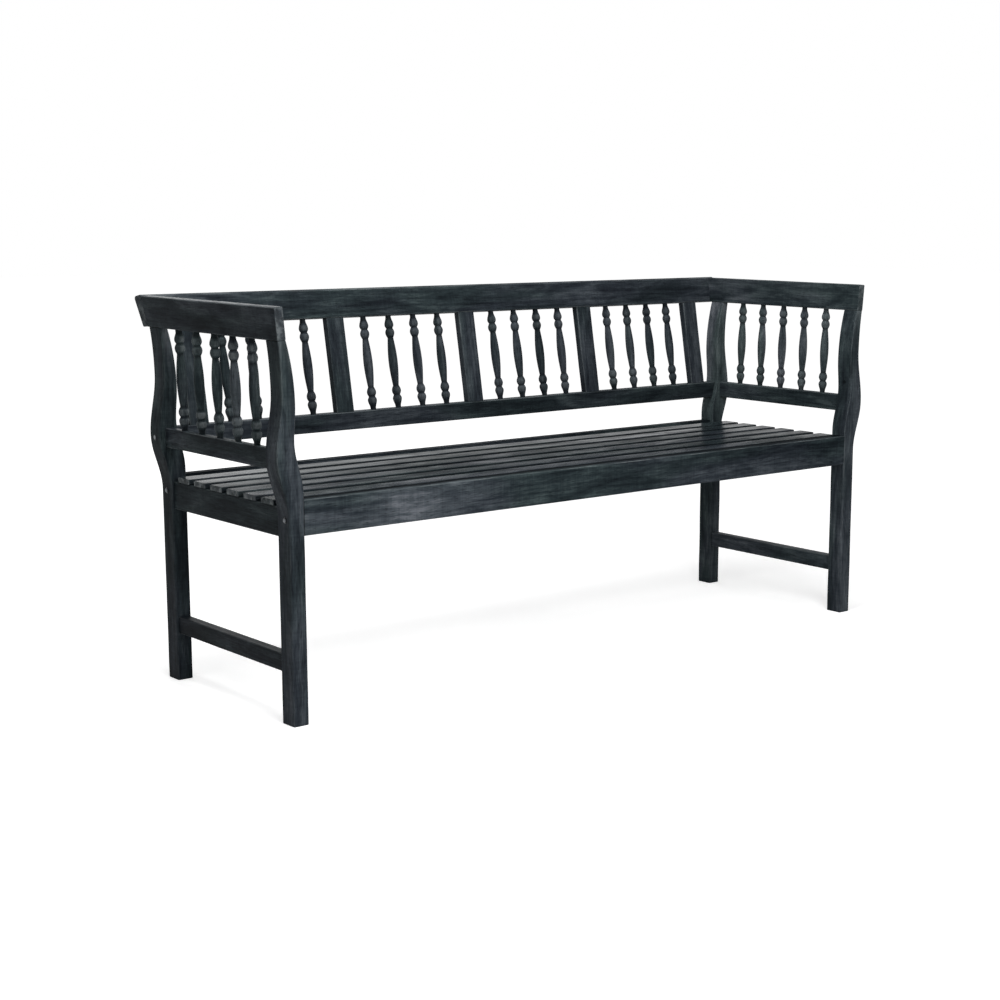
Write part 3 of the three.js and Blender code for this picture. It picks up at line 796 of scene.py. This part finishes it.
# %% Crest rail
back_lean = math.radians(10.2)
back_foot_y = node_size("rear_post_left")[1][1]
crest_rise = 1 * mm  # of the crest's foot above the posts' tops
back_length = (post_height + crest_rise - rail_top) / math.cos(back_lean)  # from rail to crest
crest_height = 65 * mm
crest_foot_thickness = 20 * mm
crest_top_thickness = 32 * mm
crest_front_set = 3.2 * mm  # of the top's front edge behind the foot's
crest_top_round = 6 * mm
crest_foot_round = 2 * mm


def back_point(along, behind):
    """A point of the leaning back in depth and height, from the middle of the lower rail's top."""
    y = back_foot_y + along * math.sin(back_lean) + behind * math.cos(back_lean)
    z = rail_top + along * math.cos(back_lean) - behind * math.sin(back_lean)
    return np.array([y, z])


crest_front = crest_front_set - crest_foot_thickness / 2
crest_corners = [
    back_point(back_length, -crest_foot_thickness / 2),
    back_point(back_length, crest_foot_thickness / 2),
    back_point(back_length + crest_height, crest_front + crest_top_thickness),
    back_point(back_length + crest_height, crest_front),
]


def arm_outer(height):
    """The distance of the arm's outer face from the bench's middle."""
    return arm_foot + (height - post_height) * math.tan(arm_lean)


def crest_front_at(height):
    """The depth of the crest's front face."""
    foot, top = crest_corners[0], crest_corners[3]
    return foot[0] + (top[0] - foot[0]) * (height - foot[1]) / (top[1] - foot[1])


crest_section = rounded_outline(crest_corners, [crest_foot_round] * 2 + [crest_top_round] * 2)
crest_ends = mirrored_ends(lambda points: arm_outer(points[:, 1]))
board("back_top_rail", crest_section, [0, 0, 0], bench_axes, crest_ends, crest_wood, free_rounds)
print("crest's top, metres:", crest_corners[2].round(4))

# %% [markdown]
# ## The arms' top rails
#
# The arms' rails are tall boards on edge, which lean outwards on the posts' slanted tops. Their rear ends are
# cut to the crest's leaning front.


# %% Arms' top rails
def make_arm_rail(name, side):
    """Its section leans outwards about its outer bottom edge, and its rear end follows the crest's front."""
    up = np.array([side * math.sin(arm_lean), 0, math.cos(arm_lean)])
    inward = np.array([-side * math.cos(arm_lean), 0, math.sin(arm_lean)])
    origin = np.array([side * arm_foot, 0, post_height])
    origin = origin + up * arm_height / 2 + inward * arm_thickness / 2
    section = rounded_outline(rectangle(arm_thickness, arm_height), rail_edge_round)
    front = node_span(name)[0][1]

    def rear(points):
        height = origin[2] + points[:, 0] * inward[2] + points[:, 1] * up[2]
        return crest_front_at(height) - joint_gap

    axes = [y_axis, inward, up]
    # The right arm's rail is paler, partly as painted light on its inner face.
    material = wood if side < 0 else grey_wood
    return board(name, section, origin, axes, (flat_end(front), rear), material, (free_round, tight_round))


for side, hand in hands:
    make_arm_rail(f"arm_top_rail_{hand}", side)
print("arms' top rails: 2")

# %% [markdown]
# ## The back's stiles
#
# Five flat boards divide the back into four bays. They lean with it: the foot of each is cut level to stand
# on the lower rail, and the head is square to the lean, against the crest's foot.

# %% Stiles
stile_width = 45 * mm
stile_thickness = 19 * mm
stile_count = 5
along_back = np.array([0, math.sin(back_lean), math.cos(back_lean)])
behind_back = np.array([0, math.cos(back_lean), -math.sin(back_lean)])


def make_stile(name):
    """Its foot rises with the distance behind the middle, times the tangent of the lean: a level cut."""
    section = rounded_outline(rectangle(stile_width, stile_thickness), rail_edge_round)
    origin = [node_size(name)[1][0], back_foot_y, rail_top]

    def foot(points):
        return points[:, 1] * math.tan(back_lean) + joint_gap

    ends = (foot, flat_end(back_length - joint_gap))
    return board(name, section, origin, [along_back, x_axis, behind_back], ends, wood)


for number in range(1, stile_count + 1):
    make_stile(f"back_stile_{number}")
print("stiles:", stile_count)

# %% [markdown]
# ## The turned spindles
#
# All 26 spindles come off the lathe alike, and their two halves mirror each other. From the end a neck swells
# into a pear, then come a tight waist, a round bead and a second neck, and a long slim vase reaches to the
# middle. The radius is one function of the place along the spindle: every stretch between two stations is a
# part of a sine wave, so that the tops are round and the hollows between them stay crisp. Turning the profile
# about the axis is then one product of arrays.

# %% Spindle profile
spindle_radius = 10.35 * mm
spindle_sides = 40
stretch_rows = 9
tenon_reach = 7 * mm  # of the necks into the rails
# Each station: height as a share of the visible length, radius as a share of the widest, and the way on.
half_spindle_stations = [
    (0.000, 0.60, "ease"),
    (0.012, 0.60, "ease"),
    (0.100, 0.99, "arch_down"),
    (0.138, 0.68, "arch"),
    (0.184, 1.00, "arch_down"),
    (0.240, 0.63, "arch"),
    (0.500, 1.00, "arch"),
]


def stretch(here, there):
    """Points from one station to the next, for an angle that grows from 0 to a quarter turn.

    ease: half a cosine wave. arch: a quarter of a sine wave, steep first. arch_down: level first, then steep.
    """
    share = np.linspace(0, 1, stretch_rows, endpoint=False)
    ways = {
        "ease": (1 - np.cos(np.pi * share)) / 2,
        "arch": np.sin(np.pi / 2 * share),
        "arch_down": 1 - np.cos(np.pi / 2 * share),
    }
    rise = ways[here[2]]
    return np.stack([here[0] + (there[0] - here[0]) * share, here[1] + (there[1] - here[1]) * rise], axis=1)


def spindle_profile():
    """Heights and radii, as shares: the lower half, its last station, and the lower half upside down."""
    stations = half_spindle_stations
    lower = np.concatenate([stretch(here, there) for here, there in zip(stations, stations[1:])])
    upper = np.stack([1 - lower[::-1, 0], lower[::-1, 1]], axis=1)
    return np.concatenate([lower, [stations[-1][:2]], upper])


profile_shares = spindle_profile()
print("spindle profile:", len(profile_shares), "rows")

# %% [markdown]
# ## Turning the spindles
#
# Hands and cloth rub the beads, and on the left arm's beads the rubbing is raised into a painted highlight.
# Stain gathers in the necks beside them, so the wear follows the radius. The long vase stays plain.

# %% Spindles
arm_spindle_count = 5
back_spindle_count = 16
arm_bead_rub_and_highlight = {"left": 0.9, "right": 0.35}  # how pale the beads are rubbed; on the left it is also a painted highlight
back_bead_rub = 0.35
bead_share, bead_blend = 0.84, 0.06  # of the widest radius, from where the turning is rubbed
neck_share, neck_blend = 0.80, 0.10  # of the widest radius, down from where the stain gathers
neck_stain = 0.7
vase_reach = 0.24  # of the length, from the middle to the vase's two ends


def spindle_wear(along, radius, rub):
    """Rubbed where the radius is over the bead's, and stained where it is under the neck's."""
    rubbed = rub * np.clip((radius - bead_share) / bead_blend, 0, 1)
    stained = neck_stain * np.clip((neck_share - radius) / neck_blend, 0, 1)
    return (rubbed - stained) * (np.abs(along - 0.5) > vase_reach)


def make_spindle(name, foot, head, material, rub):
    """The profile turned about the line from foot to head, with its necks run on into both rails."""
    foot, head = np.asarray(foot), np.asarray(head)
    length = np.linalg.norm(head - foot)
    axis = (head - foot) / length
    side = np.cross(axis, y_axis)
    side /= np.linalg.norm(side)
    other = np.cross(axis, side)
    along = np.concatenate([[-tenon_reach], profile_shares[:, 0] * length, [length + tenon_reach]])
    neck = profile_shares[0, 1]
    radius = np.concatenate([[neck], profile_shares[:, 1], [neck]]) * spindle_radius
    turn = np.linspace(0, 2 * np.pi, spindle_sides, endpoint=False)
    circle = np.stack([np.cos(turn), np.sin(turn)], axis=-1) * radius[:, None, None]
    rings = foot + along[:, None, None] * axis + circle[..., :1] * side + circle[..., 1:] * other
    grain = np.concatenate([np.broadcast_to(along[:, None, None], (*circle.shape[:2], 1)), circle], axis=-1)
    wear = spindle_wear(along / length, radius / spindle_radius, rub)
    return skin(name, rings, grain, wear[:, None], material, name)


def make_arm_spindle(hand, side, number):
    """From the arm's lower rail to the middle of its leaning top rail's underside."""
    name = f"arm_spindle_{hand}_{number}"
    depth = node_size(name)[1][1]
    rail = f"arm_lower_rail_{hand}"
    foot = [node_size(rail)[1][0], depth, node_span(rail)[1][2]]
    under = arm_thickness / 2
    head_x = side * (arm_foot - under * math.cos(arm_lean))
    head = [head_x, depth, post_height + under * math.sin(arm_lean)]
    return make_spindle(name, foot, head, arm_turned_wood, arm_bead_rub_and_highlight[hand])


def make_back_spindle(number):
    """From the back's lower rail to the crest's foot."""
    name = f"back_spindle_{number}"
    x = node_size(name)[1][0]
    head = [x, *back_point(back_length, 0)]
    return make_spindle(name, [x, *back_point(0, 0)], head, turned_wood, back_bead_rub)


for side, hand in hands:
    for number in range(1, arm_spindle_count + 1):
        make_arm_spindle(hand, side, number)
for number in range(1, back_spindle_count + 1):
    make_back_spindle(number)
print("spindles:", 2 * arm_spindle_count + back_spindle_count)

# %% [markdown]
# ## The bolts
#
# Three bolts at each end pull the long rails into the posts. Only their domed heads show, each with a painted
# highlight on its crown, partly rubbed steel, on a black ring that is painted shade of the recess around the
# head. The profile is the ring's edge and then a quarter of an ellipse, and it is turned about the bolt's axis.
# The back rail's bolts are the outermost things on the bench, so their domes end at the imported model's box.

# %% Bolts
packed_height = 1.4 * mm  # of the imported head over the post's face
shade_ring_radius = 6.4 * mm
shade_ring_height = 0.3 * mm
shade_ring_sunk = 2 * mm
bolt_radius = 4.9 * mm
bolt_dome = 3.4 * mm
bolt_sides = 32
bolt_rows = 10
black_steel_and_recess_shade = (0.006, 0.007, 0.008, 1)
rubbed_steel_and_highlight = (0.12, 0.13, 0.14, 1)
stain_cells = 900  # per metre, of the steel's stains


def dull_steel():
    """Black steel that is bright where the wear is high, on the bolts' crowns a painted highlight, and dark on
    the ring of painted recess shade, with small stains in its colour and its gloss.
    """
    material, tree = new_material("dull_steel")
    place = tree.node("ShaderNodeTexCoord", {}, {}, 3)
    wear = tree.node("ShaderNodeAttribute", {"attribute_name": "wear"}, {}, 2)
    stain = place.noise((stain_cells, stain_cells, stain_cells), 3.0, 0.6)
    colour = (wear * 3.0 + stain * 0.4 - 0.3).clamped().mixed(black_steel_and_recess_shade, rubbed_steel_and_highlight)
    inputs = {"Base Color": colour, "Roughness": stain * 0.25 + 0.22, "Metallic": 0.9}
    surface = tree.node("ShaderNodeBsdfPrincipled", {}, inputs)
    tree.node("ShaderNodeOutputMaterial", {}, {"Surface": surface})
    return material


steel = dull_steel()


def make_bolt(name, side):
    """A profile of heights out of the post's face and radii, turned about a line along the bench."""
    size, middle = node_size(name)
    face = middle[0] + side * (size[0] / 2 - packed_height)
    dome = min(bolt_dome, cad_box[1][0] - abs(face) - shade_ring_height)
    turn = np.linspace(0, np.pi / 2, bolt_rows, endpoint=False)
    out = np.concatenate([[-shade_ring_sunk, shade_ring_height], shade_ring_height + dome * np.sin(turn)])
    radius = np.concatenate([[shade_ring_radius, shade_ring_radius], bolt_radius * np.cos(turn)])
    around = np.linspace(0, 2 * np.pi, bolt_sides, endpoint=False)
    x = np.broadcast_to(face + side * out[:, None], (len(out), bolt_sides))
    y = middle[1] + radius[:, None] * np.cos(around)
    z = middle[2] + radius[:, None] * np.sin(around)
    rings = np.stack([x, y, z], axis=-1)
    # The wear is a painted highlight at the crown, partly rubbed steel, and 0 on the ring of painted shade.
    wear = np.clip(1 - radius / bolt_radius, 0, 1)
    return skin(name, rings, rings, wear[:, None], steel, name)


for side, hand in hands:
    for name in ("front_rail_bolt", "rear_rail_bolt", "back_rail_bolt"):
        make_bolt(f"{name}_{hand}", side)
print("bolts: 6")

# %% [markdown]
# ## The floor
#
# The bench stands alone on white. The floor is a large pale sheet with a little light of its own, which only
# camera rays and reflections meet: it lifts the sheet to white and leaves the bench's soft shadow. It is
# weaker near the bench, where the lamps reach the floor too.

# %% Floor
floor_size = 40  # metres
floor_grey = (0.8, 0.8, 0.8, 1)
white = (1, 1, 1, 1)
near_lift, far_lift = 0.52, 0.85  # the floor's own light near the bench and far from it
lift_zone = (1.2, 4.0)  # metres from the bench's middle, from near to far
seen_kinds = ("Is Camera Ray", "Is Glossy Ray", "Is Transmission Ray")


def seen_rays(tree):
    """1 for a ray that shows what it meets, and 0 for one that only lights the wood."""
    outputs = tree.node("ShaderNodeLightPath").socket.node.outputs
    return sum(Wire(tree.tree, outputs[kind]) for kind in seen_kinds).clamped()


def make_floor():
    """One square face, with a white glow for the rays that are seen."""
    mesh = bpy.data.meshes.new("floor")
    corners = [(*corner, 0) for corner in rectangle(floor_size, floor_size)]
    mesh.from_pydata(corners, [], [(0, 1, 2, 3)])
    material, tree = new_material("floor")
    place = tree.node("ShaderNodeTexCoord", {}, {}, 3)
    away = place.vector("LENGTH", output=1)
    lift = away.step(*lift_zone) * (far_lift - near_lift) + near_lift
    glow = tree.node("ShaderNodeEmission", {}, {"Color": white, "Strength": seen_rays(tree) * lift})
    matt = tree.node("ShaderNodeBsdfDiffuse", {}, {"Color": floor_grey})
    both = tree.node("ShaderNodeAddShader", {}, {0: glow, 1: matt})
    tree.node("ShaderNodeOutputMaterial", {}, {"Surface": both})
    mesh.materials.append(material)
    floor = bpy.data.objects.new("floor", mesh)
    scene.collection.objects.link(floor)
    return floor


print("floor, metres:", make_floor().dimensions[:2])

# %% [markdown]
# ## Room and lamps
#
# The room is white where it is seen or reflected, and dimmer where it only lights the wood. Four soft boxes
# do the rest: a key lamp at the front left, a weak strip at the front right, one overhead for the seat, and
# one behind for the back.

# %% Room
room_strength = 0.22


def make_room():
    """A world of strength 1 for the rays that are seen, and of room_strength for the others."""
    world = bpy.data.worlds.new("room")
    world.use_nodes = True
    world.node_tree.nodes.clear()
    tree = Wire(world.node_tree)
    strength = seen_rays(tree) * (1 - room_strength) + room_strength
    sky = tree.node("ShaderNodeBackground", {}, {"Color": white, "Strength": strength})
    tree.node("ShaderNodeOutputWorld", {}, {"Surface": sky})
    scene.world = world


make_room()


# %% Lamps
def make_lamp(name, place, target, size, power):
    """A soft box of some width and height in metres and power in watts, at a place, turned to a target."""
    data = bpy.data.lights.new(name, "AREA")
    data.shape = "RECTANGLE"
    data.size, data.size_y = size
    data.energy = power
    lamp = bpy.data.objects.new(name, data)
    ahead = np.asarray(target, float) - place
    ahead /= np.linalg.norm(ahead)
    right = np.cross(ahead, z_axis)
    right /= np.linalg.norm(right)
    lamp.matrix_world = facing(right, np.cross(right, ahead), ahead, place)
    scene.collection.objects.link(lamp)
    return lamp


make_lamp("key", (-0.65, -1.9, 1.5), (-0.1, 0, 0.5), (1.1, 1.4), 38)
make_lamp("strip", (1.0, -3.3, 1.1), (-0.4, 0, 0.5), (0.5, 1.5), 14)
make_lamp("top", (-0.6, -0.2, 2.9), (0.3, 0, 0.4), (1.2, 1.8), 54)
make_lamp("back", (0.6, 3.2, 2.2), (0, 0, 0.5), (1.6, 1.6), 25)
print("lamps:", len(bpy.data.lights))

# %% [markdown]
# ## Handing over
# ## The view transform
# The view transform is set to Standard, so that a colour renders as it is written.

# %% View transform
scene.view_settings.view_transform = "Standard"
